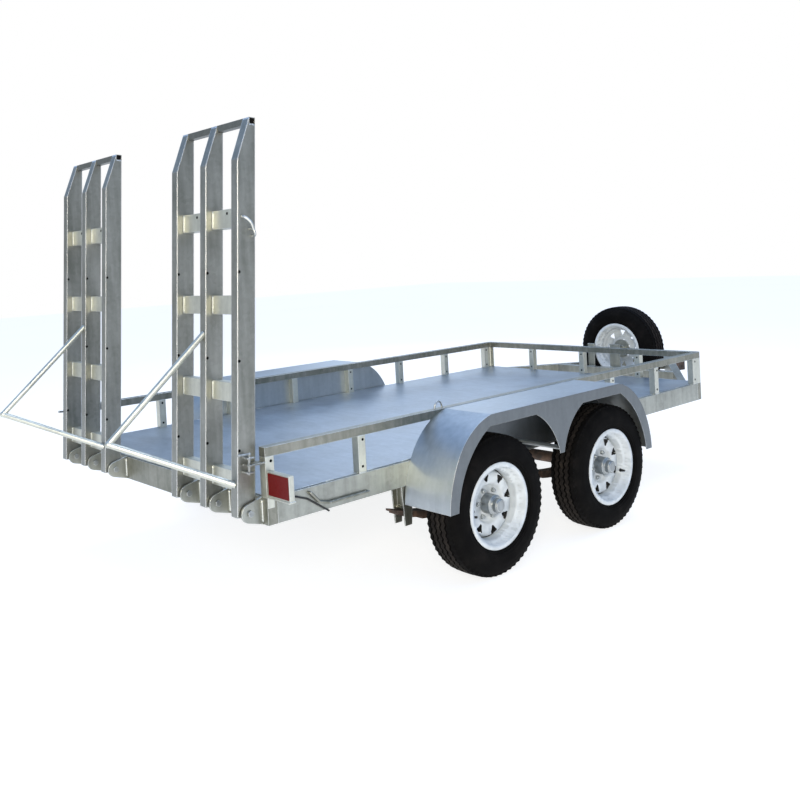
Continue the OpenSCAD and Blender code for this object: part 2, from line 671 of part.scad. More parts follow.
module wheel_place(side, y) place() mirror([side < 0 ? 1 : 0, 0, 0])
  translate([wheel_x, y, axle_height]) children();
module rear_right_tyre() color(black_rubber) wheel_place(1, rear_axle) tyre();
module rear_right_rim() color(white_steel) wheel_place(1, rear_axle) rim(rear_turn);
module rear_right_hub() color(galvanised) wheel_place(1, rear_axle) hub(rear_turn);
module front_right_tyre() color(black_rubber) wheel_place(1, front_axle) tyre();
module front_right_rim() color(white_steel) wheel_place(1, front_axle) rim(front_turn);
module front_right_hub() color(galvanised) wheel_place(1, front_axle) hub(front_turn);
module rear_left_tyre() color(black_rubber) wheel_place(-1, rear_axle) tyre();
module rear_left_rim() color(white_steel) wheel_place(-1, rear_axle) rim(rear_turn);
module rear_left_hub() color(galvanised) wheel_place(-1, rear_axle) hub(rear_turn);
module front_left_tyre() color(black_rubber) wheel_place(-1, front_axle) tyre();
module front_left_rim() color(white_steel) wheel_place(-1, front_axle) rim(front_turn);
module front_left_hub() color(galvanised) wheel_place(-1, front_axle) hub(front_turn);

// Two axle tubes with their stub axles
module axles() color(brown_steel) place() for (y = [rear_axle, front_axle]) translate([0, y, axle_height])
  rotate([0, 90, 0]) {
    translate([0, 0, -wheel_x + 72]) cylinder(h = 2 * wheel_x - 144, r = axle_radius);
    translate([0, 0, -wheel_x - 30]) cylinder(h = 2 * wheel_x + 60, r = stub_radius);
  }

// Leaf springs under the axles, drawn as rings cut to length
spring_x = half - 12 - leaf_width / 2;
leaf_r = (leaf_reach * leaf_reach + leaf_sag * leaf_sag) / (2 * leaf_sag);
leaf_low = axle_height - axle_radius - 4;
// Height of the top of the main leaf at some distance from the axle
function leaf_top(d) = leaf_low + leaf_r - sqrt(leaf_r * leaf_r - d * d);
module leaf(n) intersection() {
  translate([spring_x - leaf_width / 2, 0, leaf_low + leaf_r]) rotate([0, 90, 0]) difference() {
    cylinder(h = leaf_width, r = leaf_r + (n + 1) * leaf_sheet, $fn = 180);
    translate([0, 0, -1]) cylinder(h = leaf_width + 2, r = leaf_r + n * leaf_sheet, $fn = 180);
  }
  box([spring_x - leaf_width, -leaf_reach + n * n * leaf_step, 0],
    [spring_x + leaf_width, leaf_reach - n * n * leaf_step, chassis_bottom]);
}
module spring() {
  for (n = [0 : 4]) leaf(n);
  difference() {
    box([spring_x - leaf_width / 2, -45, leaf_low - leaf_sheet / 2],
      [spring_x + leaf_width / 2, 45, axle_height - axle_radius / 4]);
    translate([spring_x - leaf_width, 0, axle_height]) rotate([0, 90, 0]) cylinder(h = 2 * leaf_width, r = axle_radius);
  }
}
module leaf_springs() color(brown_steel) place() both()
  for (y = [rear_axle, front_axle]) translate([0, y, 0]) spring();

// Hanger over a spring end: two cheeks, a plate between them and the pin that rides on the leaf
pin_r = 10;
hanger_foot = 20;
hanger_head = 34;
seat_gap = 0.3;
pin_z = leaf_low + leaf_r - sqrt(pow(leaf_r - pin_r - seat_gap, 2) - pow(hanger_reach, 2));
module hanger_cheeks(y, low) for (s = [-1, 1])
  translate([spring_x + s * (leaf_width + hanger_sheet) / 2 - hanger_sheet / 2, 0, 0])
    side_plate(0, hanger_sheet, [[y - hanger_foot, low], [y + hanger_foot, low],
      [y + hanger_head, chassis_bottom], [y - hanger_head, chassis_bottom]]);
module hanger(y) {
  hanger_cheeks(y, chassis_bottom - hanger_depth);
  translate([spring_x - leaf_width / 2, y, pin_z]) rotate([0, 90, 0])
    cylinder(h = leaf_width, r = pin_r);
  box([spring_x - leaf_width / 2, y - hanger_sheet / 2, pin_z],
    [spring_x + leaf_width / 2, y + hanger_sheet / 2, chassis_bottom]);
}

// Rocker between the inner ends of the two springs, hung from the middle hanger
rocker_half = wheelbase / 2 - leaf_reach + 30;
rocker_low = leaf_top(leaf_reach) + seat_gap;
module rocker() side_plate(spring_x - leaf_width / 2, spring_x + leaf_width / 2,
  [[-rocker_half, rocker_low], [rocker_half, rocker_low], [rocker_half, rocker_low + 20],
    [20, rocker_low + 56], [-20, rocker_low + 56], [-rocker_half, rocker_low + 20]]);
module spring_hangers() color(brown_steel) place() both() {
  hanger(rear_axle - hanger_reach);
  hanger(front_axle + hanger_reach);
  hanger_cheeks(guard_mid, rocker_low + 12);
}
module spring_rockers() color(brown_steel) place() both() translate([0, guard_mid, 0]) rocker();

// Tail lamps in folded boxes on brackets beside the rear posts
lamp_low = chassis_top + 8;
lamp_rim = 6;
module lamp_bracket() {
  box([half, 0, lamp_low - 6], [half + lamp_width + 4, lamp_depth + 4, lamp_low]);
  box([half, 0, chassis_top - 40], [half + 5, lamp_depth + 4, lamp_low - 6]);
}
module lamp_box() difference() {
  box([half + 2, 4, lamp_low], [half + 2 + lamp_width, lamp_depth, lamp_low + lamp_height]);
  box([half + 2 + lamp_rim, 3, lamp_low + lamp_rim],
    [half + 2 + lamp_width - lamp_rim, 12, lamp_low + lamp_height - lamp_rim]);
}
module lamp_housings() color(galvanised) place() both() {
  lamp_bracket();
  lamp_box();
}
module lamp_lens() box([half + 2 + lamp_rim, 2, lamp_low + lamp_rim],
  [half + 2 + lamp_width - lamp_rim, 12, lamp_low + lamp_height - lamp_rim]);
module lamp_lenses() color([0.36, 0.05, 0.06]) place() both() lamp_lens();

// Cable from each lamp down to the underside of the chassis
module lamp_cable() {
  x = half + cable_radius + 1;
  z = lamp_low + lamp_height / 3;
  under = chassis_bottom - cable_radius - 2;
  pts = [[x + 10, lamp_depth + 0.2, z], [x + 10, lamp_depth + 14, z],
    [x + 6, cable_turn / 3, chassis_top - 8], [x, cable_turn * 0.65, chassis_bottom + chassis_depth * 0.6],
    [x, cable_turn, under]];
  for (i = [0 : 3]) rod(pts[i], pts[i + 1], cable_radius);
  for (i = [1 : 4]) translate(pts[i]) sphere(r = cable_radius + 0.3);
  rod(pts[4], [half - chassis_flange - 14, cable_turn + 20, under], cable_radius);
}
module lamp_cables() color(black_rubber) place() both() lamp_cable();

// Spare wheel carried upright on the drawbar, held by its disc against a round plate
spare_plate = 10;
disc_half = 3;
spare_seat = spare_place - disc_half - 0.2;
post_front = spare_place - tyre_half - 4;
post_sheet = 8;
cross_depth = 60;
module spare_place_it() place() translate([0, spare_place, spare_height]) rotate([0, 0, 90]) children();
module spare_tyre() color(black_rubber) spare_place_it() tyre();
module spare_rim() color(white_steel) spare_place_it() rim(0);
// Half distance between the drawbar members at some distance from the rear face
function bar_inner(y) = (drawbar_spread / 2 - drawbar_width * bar_lean) * (bar_end - bar_meet - y)
  / (bar_end - bar_meet - chassis_length);
module spare_bracket() color(galvanised) place() {
  top = bar_z + drawbar_depth;
  back = post_front - drawbar_width;
  translate([0, spare_seat, spare_height]) rotate([90, 0, 0]) cylinder(h = spare_plate, r = stud_circle + 2);
  translate([0, spare_seat, spare_height]) rotate([90, 0, 0]) cylinder(h = spare_seat - post_front, r = 24);
  box([-44, post_front - post_sheet, top], [44, post_front, spare_height + 40]);
  box([-239, post_front - post_sheet, top], [-183, post_front, spare_height + 40]);
  translate([0, 0, top - cross_depth]) linear_extrude(height = cross_depth)
    polygon([[-bar_inner(back), back], [bar_inner(back), back],
      [bar_inner(post_front), post_front], [-bar_inner(post_front), post_front]]);
}

side_rail_right();
side_rail_left();
rear_crossmember();
front_crossmember();
cross_bearers();
deck_plate();
top_rail();
rail_posts();
mudguard_right();
mudguard_left();
hinge_lugs();
hinge_pins();
latch_forks();
rope_rails();
drawbar_right();
drawbar_left();
coupling();
spare_bracket();
spare_rim();
spare_tyre();
axles();
leaf_springs();
spring_hangers();
spring_rockers();
lamp_housings();
lamp_lenses();
lamp_cables();
ramp_right_stringers();
ramp_right_rungs();
ramp_right_leg();
ramp_right_latch_guide();
latch_pin_right();
ramp_left_stringers();
ramp_left_rungs();
ramp_left_leg();
ramp_left_latch_guide();
latch_pin_left();
rear_right_tyre();
rear_right_rim();
rear_right_hub();
front_right_tyre();
front_right_rim();
front_right_hub();
rear_left_tyre();
rear_left_rim();
rear_left_hub();
front_left_tyre();
front_left_rim();
front_left_hub();
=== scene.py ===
# %% [markdown]
# # Dressing a plant trailer
# The construction model gives every steel piece its true shape and place. This lesson gives each
# surface the look of the real one, and adds what the construction model leaves out: tyre treads,
# weld beads, bolts, vent holes and the like. Lengths here are metres, X runs across the trailer,
# Y points to the drawbar and Z is up.

# %% Load the fixed frame
import math

import bpy
from mathutils import Matrix, Vector


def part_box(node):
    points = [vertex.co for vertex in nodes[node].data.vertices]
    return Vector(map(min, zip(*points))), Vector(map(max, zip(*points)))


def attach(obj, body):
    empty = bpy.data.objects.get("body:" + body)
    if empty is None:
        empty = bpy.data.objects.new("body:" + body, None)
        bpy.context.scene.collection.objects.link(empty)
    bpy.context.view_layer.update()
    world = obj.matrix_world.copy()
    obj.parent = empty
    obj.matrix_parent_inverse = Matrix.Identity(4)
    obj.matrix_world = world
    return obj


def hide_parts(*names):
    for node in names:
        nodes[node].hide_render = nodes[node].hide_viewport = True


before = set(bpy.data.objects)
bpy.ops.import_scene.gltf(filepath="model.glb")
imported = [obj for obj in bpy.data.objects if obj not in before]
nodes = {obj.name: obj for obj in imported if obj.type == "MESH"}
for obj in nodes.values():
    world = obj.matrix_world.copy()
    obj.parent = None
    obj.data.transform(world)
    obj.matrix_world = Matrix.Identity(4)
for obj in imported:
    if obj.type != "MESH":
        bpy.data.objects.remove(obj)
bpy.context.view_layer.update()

# %% [markdown]
# Every piece is found again by its box: the middle of a tyre's box is the middle of its wheel, so
# nothing has to be typed twice. A few small helpers do the rest of the bookkeeping.

# %% Bookkeeping helpers
MM = 0.001


def middle(node):
    """The middle of a piece's box."""
    low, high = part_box(node)
    return (low + high) / 2


def nothing_selected():
    """Operators act on all that is selected, so each piece starts from an empty selection."""
    if bpy.context.object and bpy.context.object.mode != "OBJECT":
        bpy.ops.object.mode_set(mode="OBJECT")
    bpy.ops.object.select_all(action="DESELECT")


def pick(piece):
    """Makes one piece the selected and active one."""
    nothing_selected()
    piece.select_set(True)
    bpy.context.view_layer.objects.active = piece


def settle(piece):
    """Moves a piece's place into its mesh, so its object sits at the origin."""
    pick(piece)
    bpy.ops.object.transform_apply(location=True, rotation=True, scale=True)
    return piece


def edit_whole(piece, operator, **settings):
    """Runs one edit-mode operator on the whole of a piece."""
    pick(piece)
    bpy.ops.object.mode_set(mode="EDIT")
    bpy.ops.mesh.select_all(action="SELECT")
    operator(**settings)
    bpy.ops.object.mode_set(mode="OBJECT")


def copy_of(piece, name, place):
    """A copy with a mesh of its own, put where the matrix says."""
    new = piece.copy()
    new.data = piece.data.copy()
    new.name = new.data.name = name
    bpy.context.scene.collection.objects.link(new)
    new.matrix_world = place
    return settle(new)


def join(pieces, name):
    """Makes one piece of many."""
    nothing_selected()
    for p in pieces:
        p.select_set(True)
    bpy.context.view_layer.objects.active = pieces[0]
    bpy.ops.object.join()
    whole = bpy.context.object
    whole.name = whole.data.name = name
    return whole


def finish_piece(piece, body, material, stands_for=(), crease=30):
    """Shades a piece, gives it its material and lets it ride on its body."""
    edit_whole(piece, bpy.ops.mesh.normals_make_consistent, inside=False)
    bpy.ops.object.shade_smooth_by_angle(angle=math.radians(crease))
    piece.data.materials.clear()
    piece.data.materials.append(material)
    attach(piece, body)
    if stands_for:
        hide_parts(*stands_for)
    print(piece.name, len(piece.data.polygons), "faces on", body)
    return piece


print("right rear wheel at", [round(v, 3) for v in middle("rear_right_tyre")])

# %% [markdown]
# ## Materials
# Colours are written as the sRGB values a paint chart would give, and one function turns them to
# the linear values that the renderer adds light in. Another adds a node of any kind with its
# settings and its links, and every material below is made with it.

# %% Colour and node helpers


def colour(sheet):
    """sRGB hex such as 'a9b0b2' to linear red, green, blue and alpha."""
    parts = [int(sheet[i : i + 2], 16) / 255 for i in (0, 2, 4)]
    return [p / 12.92 if p < 0.04045 else ((p + 0.055) / 1.055) ** 2.4 for p in parts] + [1.0]


def add(tree, kind, links=(), stops=(), **settings):
    """Adds a node. Settings name its sockets or properties, links are (input, source node, output)
    and stops are the (place, hex colour) pairs of a colour ramp."""
    n = tree.nodes.new(kind)
    for key, value in settings.items():
        if hasattr(n, key):
            setattr(n, key, value)
        else:
            n.inputs[key.replace("_", " ")].default_value = value
    band = n.color_ramp.elements if stops else []
    while len(band) < len(stops):
        band.new(0.5)
    for e, (at, sheet) in zip(band, stops):
        e.position, e.color = at, colour(sheet)
    for socket, source, output in links:
        tree.links.new(source.outputs[output], n.inputs[socket])
    return n


def blank(name, **surface):
    """A new material: its node tree, its shader and a source of object coordinates."""
    m = bpy.data.materials.new(name)
    m.use_nodes = True
    tree = m.node_tree
    shader = tree.nodes["Principled BSDF"]
    for key, value in surface.items():
        shader.inputs[key.replace("_", " ")].default_value = value
    return m, tree, shader, add(tree, "ShaderNodeTexCoord")


print("a mid grey is", [round(v, 3) for v in colour("808080")])

# %% [markdown]
# Hot-dip galvanised steel is mild steel dipped in molten zinc. The zinc freezes into crystals, the
# spangle, 10 to 30 mm across, that differ a little in grey. It runs off as it drains, which leaves
# long soft streaks, and weather dulls it. So the colour comes from three patterns: cells of about
# 16 mm for the spangle, clouds of about 200 mm for the weathering, and a stretched noise for the
# runs. Folds and edges get a painted highlight. The upright outer sides can be painted darker than
# the tops, as painted shade. The ends of the ramps, above 1.97 m, are much darker than the rest.
# A metal keeps the default index of refraction.

# %% Galvanised steel
SPANGLE, CLOUD, RUN = 0.016, 0.2, 0.03  # sizes of the three patterns, in metres
SPANGLE_SHARE = 0.22  # how strongly the spangle shows beside the clouds and the runs
DARK_ABOVE = 1.97  # height above which the ends of the upright ramps are darker


def galvanised(name, dark, light, edge_highlight="e6e9e6", rough=0.4, runs=(1, 1, 0.12), fold=0.0035,
        sides=1.0, tip=1.0):
    """Zinc between two tones, with a painted highlight on folds. Sides sets the painted shade of
    the outer sides, tip how dark the ramp ends are.
    """
    m, tree, shader, where = blank(name, Metallic=0.9, Roughness=rough)
    at = [("Vector", where, "Object")]
    spangle = add(tree, "ShaderNodeTexVoronoi", at, Scale=1 / SPANGLE)
    clouds = add(tree, "ShaderNodeTexNoise", at, Scale=1 / CLOUD, Detail=4)
    stretch = add(tree, "ShaderNodeMapping", at, Scale=runs)
    streaks = add(tree, "ShaderNodeTexNoise", [("Vector", stretch, "Vector")], Scale=1 / RUN,
        Detail=3)
    both = add(tree, "ShaderNodeMath", [(0, clouds, "Fac"), (1, streaks, "Fac")], operation="ADD")
    grain = add(tree, "ShaderNodeMath", [(0, spangle, "Color")], operation="MULTIPLY")
    grain.inputs[1].default_value = SPANGLE_SHARE
    all_three = add(tree, "ShaderNodeMath", [(0, both, 0), (1, grain, 0)], operation="ADD")
    level = add(tree, "ShaderNodeMapRange", [("Value", all_three, 0)], From_Min=0.75,
        From_Max=1.45)
    tone = add(tree, "ShaderNodeValToRGB", [("Fac", level, 0)], [(0, dark), (1, light)])

    # Folds: where the softened normal leaves the true one, the zinc gets a painted highlight.
    fold_turn = add(tree, "ShaderNodeBevel", samples=4, Radius=fold)
    face_turn = add(tree, "ShaderNodeNewGeometry")
    alike = add(tree, "ShaderNodeVectorMath",
        [(0, fold_turn, "Normal"), (1, face_turn, "True Normal")], operation="DOT_PRODUCT")
    painted_edge_highlight = add(tree, "ShaderNodeMapRange", [("Value", alike, "Value")], From_Min=0.995,
        From_Max=0.93, To_Max=0.85)
    tone_and_edge_highlight = add(tree, "ShaderNodeMix", [("Factor", painted_edge_highlight, 0)], data_type="RGBA")
    tone_and_edge_highlight.inputs[7].default_value = colour(edge_highlight)
    tree.links.new(tone.outputs["Color"], tone_and_edge_highlight.inputs[6])

    # Outer sides get painted shade: the normal's X times the place's X is large only on the
    # outermost upright faces.
    across = add(tree, "ShaderNodeSeparateXYZ", [("Vector", face_turn, "True Normal")])
    place = add(tree, "ShaderNodeSeparateXYZ", [("Vector", where, "Object")])
    outward = add(tree, "ShaderNodeMath", [(0, across, "X"), (1, place, "X")], operation="MULTIPLY")
    painted_side_shade = add(tree, "ShaderNodeMapRange", [("Value", outward, 0)], From_Min=0.6, From_Max=0.88,
        To_Min=1.0, To_Max=sides)
    tip_dull = add(tree, "ShaderNodeMapRange", [("Value", place, "Z")], From_Min=DARK_ABOVE,
        From_Max=DARK_ABOVE + 0.02, To_Min=1.0, To_Max=tip)
    dim = add(tree, "ShaderNodeMath", [(0, painted_side_shade, 0), (1, tip_dull, 0)], operation="MULTIPLY")
    shade = add(tree, "ShaderNodeVectorMath", [(0, tone_and_edge_highlight, 2), ("Scale", dim, 0)], operation="SCALE")
    tree.links.new(shade.outputs[0], shader.inputs["Base Color"])

    # A wide range of roughness looks like dark blotches on a bend, so this one is narrow.
    worn = add(tree, "ShaderNodeMapRange", [("Value", both, 0)], From_Min=0.7, From_Max=1.3,
        To_Min=rough - 0.02, To_Max=rough + 0.05)
    tree.links.new(worn.outputs[0], shader.inputs["Roughness"])
    skin = add(tree, "ShaderNodeBump",
        [("Height", streaks, "Fac"), ("Normal", fold_turn, "Normal")], Strength=0.05,
        Distance=0.002)
    tree.links.new(skin.outputs[0], shader.inputs["Normal"])
    return m


# The tones of the first six finishes were set per piece to how light falls on it, so they are lit
# and shaded copies of one zinc: the deck and the mudguard bluish and light as painted sky
# reflection, the rungs and posts light as painted highlight, and the ramp sections and the frame
# darker as painted shade.
zinc_frame = galvanised("hot-dip galvanised frame", "73756a", "a09f95")
zinc_side = galvanised("hot-dip galvanised side sections", "8e9089", "b6b8b0")
zinc_deck = galvanised("hot-dip galvanised deck sheet", "989fa4", "b1b8bd", runs=(0.3, 1, 1))
# The ramp sections get a whiter painted highlight, over a wider fold.
zinc_ramp = galvanised("hot-dip galvanised ramp sections", "7d7f79", "9fa09b", edge_highlight="f6f8f8",
    fold=0.006)
zinc_rung = galvanised("hot-dip galvanised rungs and posts", "bbbcb2", "d9dace", tip=0.3)
# The mudguard's outer sides are darkened to 0.4 of its tones, as painted shade.
zinc_guard = galvanised("hot-dip galvanised mudguard sheet", "a4abaf", "b8bfc3", rough=0.38,
    sides=0.4)
zinc_bright = galvanised("bright zinc plate", "858989", "b4b8b8")
print("galvanised finishes made")

# %% [markdown]
# The wheels are pressed steel with white stove enamel, a little chalky with road film. The back of
# each disc and the barrel behind it are painted dark, as painted shade. The springs and axles are
# bare or black-painted steel gone brown with weather: one noise drives both its colour and its
# scale.
# Most of these materials are one noise turned into two or three colours, so one function makes
# them.

# %% A material of one noise


def speckled(name, size, stops, detail=2, grit=0.5, **surface):
    """A material whose colour is one noise of a size in metres, run through a colour ramp."""
    m, tree, shader, where = blank(name, **surface)
    noise = add(tree, "ShaderNodeTexNoise", [("Vector", where, "Object")], Scale=1 / size,
        Detail=detail, Roughness=grit)
    tone = add(tree, "ShaderNodeValToRGB", [("Fac", noise, "Fac")], stops)
    tree.links.new(tone.outputs["Color"], shader.inputs["Base Color"])
    return m, tree, shader, where, noise, tone


road_film = [(0.35, "c3c8ca"), (0.6, "d2d7d9")]
# Dark tones of painted shade, for the backs of the discs and the walls of the hand holes.
painted_shade_tones = [(0.35, "2b2c2c"), (0.65, "454747")]
enamel, *_ = speckled("white stove enamel", 0.05, road_film, 5, Roughness=0.42, IOR=1.5)
shaded_enamel, *_ = speckled("stove enamel with painted shade", 0.04, painted_shade_tones, 5, Roughness=0.8, IOR=1.5)
print("made", enamel.name, "and", shaded_enamel.name)

# %% [markdown]
# The barrel of a rim is clean outside the disc and painted dark behind it, as painted shade, and
# its large faces run past both. So its material asks where it is: it mixes in the painted shade
# wherever the distance from the trailer's middle line is within the stretch behind the disc.

# %% Enamel of the barrel
DISC_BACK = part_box("rear_right_rim")[1].x - 0.0925  # where the painted shade begins, from the middle line
SHADE_DEPTH = 0.1  # half of the stretch that it covers
barrel, tree, shader, where, _, tone = speckled("stove enamel of the rim barrel", 0.05,
    road_film, 5, Roughness=0.42, IOR=1.5)
across = add(tree, "ShaderNodeSeparateXYZ", [("Vector", where, "Object")])
reach = add(tree, "ShaderNodeMath", [(0, across, "X")], operation="ABSOLUTE")
behind = add(tree, "ShaderNodeMath", [(0, reach, 0)], operation="COMPARE")
behind.inputs[1].default_value = DISC_BACK - SHADE_DEPTH
behind.inputs[2].default_value = SHADE_DEPTH
film_or_painted_shade = add(tree, "ShaderNodeMix", [("Factor", behind, 0)], data_type="RGBA")
tree.links.new(tone.outputs["Color"], film_or_painted_shade.inputs[6])
# The dark colour behind the disc is painted shade.
film_or_painted_shade.inputs[7].default_value = colour("343535")
tree.links.new(film_or_painted_shade.outputs[2], shader.inputs["Base Color"])
print("painted shade begins", round(DISC_BACK, 4), "m from the middle line")

# %% Weathered steel and cast iron
brown, tree, shader, _, patches, _ = speckled("weathered mild steel", 0.06,
    [(0.35, "2e2824"), (0.52, "4a3c34"), (0.68, "6b5344")], 8, 0.65, Metallic=0.25, Roughness=0.65)
scale = add(tree, "ShaderNodeBump", [("Height", patches, "Fac")], Strength=0.35, Distance=0.002)
tree.links.new(scale.outputs[0], shader.inputs["Normal"])
iron, *_ = speckled("grey cast iron", 0.012, [(0.35, "3e4243"), (0.65, "5a5f60")], 5,
    Metallic=0.6, Roughness=0.6)
print("made", brown.name, "and", iron.name)

# %% [markdown]
# Tyre rubber is filled with carbon black. It's matt, a little brown with road dust in its hollows,
# and never quite black. Its pores are finer than a millimetre and are drawn at 3 mm, so that they
# show. The lamp lens is moulded acrylic, index 1.49, dark red because nothing burns behind it.
# Cable sheath is soft PVC.

# %% Rubber, acrylic and PVC
rubber, tree, shader, where, *_ = speckled("carbon-filled tyre rubber", 0.09,
    [(0.38, "060505"), (0.55, "0b0a09"), (0.75, "171413")], 7, 0.6, Roughness=0.8, IOR=1.52,
    Specular_IOR_Level=0.08)
pores = add(tree, "ShaderNodeTexNoise", [("Vector", where, "Object")], Scale=1 / 0.003, Detail=2)
dents = add(tree, "ShaderNodeBump", [("Height", pores, "Fac")], Strength=0.25, Distance=0.0006)
tree.links.new(dents.outputs[0], shader.inputs["Normal"])
tread, *_ = speckled("road-worn tread rubber", 0.03,
    [(0.35, "120f0e"), (0.55, "221e1b"), (0.75, "3a342f")], 7, 0.7, Roughness=0.9, IOR=1.52,
    Specular_IOR_Level=0.12)
sheath, *_ = speckled("black PVC sheath", 0.02, [(0.4, "101010"), (0.7, "1f1f1f")], 3,
    Roughness=0.45, IOR=1.53)
hollow, *_ = speckled("unlit inside of a hollow section", 0.005, [(0.3, "080808"), (0.7, "141312")],
    Roughness=0.9, Specular_IOR_Level=0.1)

acrylic, tree, shader, where = blank("red moulded acrylic", Roughness=0.35, IOR=1.49,
    Specular_IOR_Level=0.15)
prisms = add(tree, "ShaderNodeTexVoronoi", [("Vector", where, "Object")], Scale=1 / 0.006,
    distance="CHEBYCHEV", Randomness=0.0)
tone = add(tree, "ShaderNodeValToRGB", [("Fac", prisms, "Distance")],
    [(0.1, "8c1412"), (0.5, "4a0808")])
tree.links.new(tone.outputs["Color"], shader.inputs["Base Color"])
print("rubber, acrylic and PVC made")

# %% [markdown]
# Each piece of the frame now gets the finish of the real one. The first word of the list that is in
# a piece's name decides, and the last entry takes what is left.

# %% Dress the frame
finishes = [
    ("_rim", enamel), ("tyre", rubber), ("lens", acrylic), ("cables", sheath),
    ("deck", zinc_deck), ("mudguard", zinc_guard), ("hangers", zinc_frame), ("axles", brown),
    ("spring", brown), ("hinge_pins", zinc_bright), ("coupling", brown), ("side_rail", zinc_side),
    ("lugs", zinc_side), ("spare_bracket", zinc_side), ("_leg", zinc_rung),
    ("housings", zinc_rung), ("latch_pin", zinc_bright), ("hub", zinc_bright),
    ("rungs", zinc_rung), ("posts", zinc_rung), ("ramp_", zinc_ramp), ("", zinc_frame)]
for name, piece in nodes.items():
    chosen = next(m for word, m in finishes if word in name)
    piece.data.materials.clear()
    piece.data.materials.append(chosen)
print("dressed", len(nodes), "pieces")

# %% [markdown]
# ## Tyres
# A tyre is a ring, so it's made as on a lathe: a circle of edges is extruded from the bead, over
# the tread and back inside, and each new ring is scaled to its radius. The road grooves are then
# bent into the zigzag of a trailer tyre by pushing every other point of their rings sideways.

# %% The lathe


def lathe(name, profile, sides, closed=False):
    """Turns (radius, place) pairs round the X axis. A closed profile ends where it began."""
    nothing_selected()
    (r, x), rest = profile[0], profile[1:]
    bpy.ops.mesh.primitive_circle_add(vertices=sides, radius=r, location=(x, 0, 0),
        rotation=(0, math.pi / 2, 0), fill_type="NOTHING" if closed else "NGON")
    piece = bpy.context.object
    piece.name = piece.data.name = name
    bpy.ops.object.mode_set(mode="EDIT")
    bpy.ops.mesh.select_mode(type="VERT")
    bpy.ops.mesh.select_all(action="SELECT")
    for r_new, x_new in rest:
        bpy.ops.mesh.extrude_region_move(TRANSFORM_OT_translate={"value": (x_new - x, 0, 0)})
        k = r_new / r
        bpy.ops.transform.resize(value=(1, k, k), center_override=(x_new, 0, 0))
        r, x = r_new, x_new
    bpy.ops.mesh.select_all(action="SELECT")
    bpy.ops.mesh.remove_doubles(threshold=0.00002)
    bpy.ops.object.mode_set(mode="OBJECT")
    return settle(piece)


# %% The tread and the side of a tyre
tyre_low, tyre_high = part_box("rear_right_tyre")
tyre_r = (tyre_high.z - tyre_low.z) / 2
tyre_w = (tyre_high.x - tyre_low.x) / 2
bead_r, bead_x = 0.178, 0.077
groove, depth = 0.0048, 0.011
GROOVES = (0.045, 0.015, -0.015, -0.045)  # places of the four road grooves
CROWN = 0.05  # how fast the tread falls away from its middle
tread_rings = []
for x in GROOVES:
    top, floor_r = tyre_r - 0.0006 - abs(x) * CROWN, tyre_r - depth
    tread_rings += [(top, x + groove), (floor_r, x + groove * 0.7),
        (floor_r, x - groove * 0.7), (top, x - groove)]
near_bead = [(0, bead_x - tyre_w), (0.018, bead_x - tyre_w), (0.024, -0.012), (0.028, -0.0085),
    (0.033, -0.0085), (0.034, -0.0045), (0.044, -0.003), (0.046, -0.0012), (0.075, 0)]
near_tread = [(0.055, -0.0022), (0.052, -0.0035), (0.044, -0.0055), (0.034, -0.009),
    (0.026, -0.0125), (0.0165, -0.0175), (0.0125, -0.0205), (0.0055, -0.0225)]
side_rings = [(bead_r + up, tyre_w + out) for up, out in near_bead]
side_rings += [(tyre_r - down, tyre_w + out) for down, out in near_tread]
outside = side_rings + tread_rings + [(r, -x) for r, x in reversed(side_rings)]
cavity = [(bead_r, bead_x - 0.012), (bead_r + 0.03, bead_x - 0.006),
    (tyre_r - 0.05, tyre_w - 0.018), (tyre_r - 0.022, tyre_w - 0.045)]
inside = [(r, -x) for r, x in cavity] + cavity[::-1] + [(bead_r, bead_x)]
print("a tyre has", len(outside + inside), "rings")

# %% One tyre
PITCHES = 60  # blocks round the tyre
ZIGZAG = 0.0046  # how far a groove swings to each side
NOTCH, NOTCH_DEPTH = 0.005, 0.002  # cuts in the shoulders
tyre = lathe("tyre_pattern", outside + inside, PITCHES * 2, closed=True)
for v in tyre.data.vertices:
    r = math.hypot(v.co.y, v.co.z)
    odd = round(math.atan2(v.co.z, v.co.y) / math.pi * PITCHES) % 2
    if abs(v.co.x) < 0.052 and r > tyre_r - depth - 0.001:  # the grooves
        v.co.x += ZIGZAG if odd else -ZIGZAG
    elif tyre_r - 0.018 < r < tyre_r - 0.004 and abs(v.co.x) > 0.06 and odd:  # a shoulder
        v.co.x -= math.copysign(NOTCH, v.co.x)
        v.co.y *= 1 - NOTCH_DEPTH / r
        v.co.z *= 1 - NOTCH_DEPTH / r

# %% Five tyres
WORN = 0.0045  # faces this close to the outside of the tread are worn by the road


def finish_tyre(piece, body, stands_for):
    """Rubber all over, and road-worn rubber on the ribs that touch the road."""
    centre = middle(stands_for)
    finish_piece(piece, body, rubber, [stands_for], crease=24)
    piece.data.materials.append(tread)
    flat = Vector((0, 1, 1)) if body != "chassis" else Vector((1, 0, 1))
    for face in piece.data.polygons:
        if ((face.center - centre) * flat).length > tyre_r - WORN:
            face.material_index = 1


wheels = {w: w + "_wheel" for w in ("rear_right", "front_right", "rear_left", "front_left")}
for wheel, body in wheels.items():
    new = copy_of(tyre, wheel + "_treaded_tyre", Matrix.Translation(middle(wheel + "_tyre")))
    finish_tyre(new, body, wheel + "_tyre")
upright = Matrix.Translation(middle("spare_tyre")) @ Matrix.Rotation(math.pi / 2, 4, "Z")
finish_tyre(copy_of(tyre, "spare_treaded_tyre", upright), "chassis", "spare_tyre")
bpy.data.objects.remove(tyre)

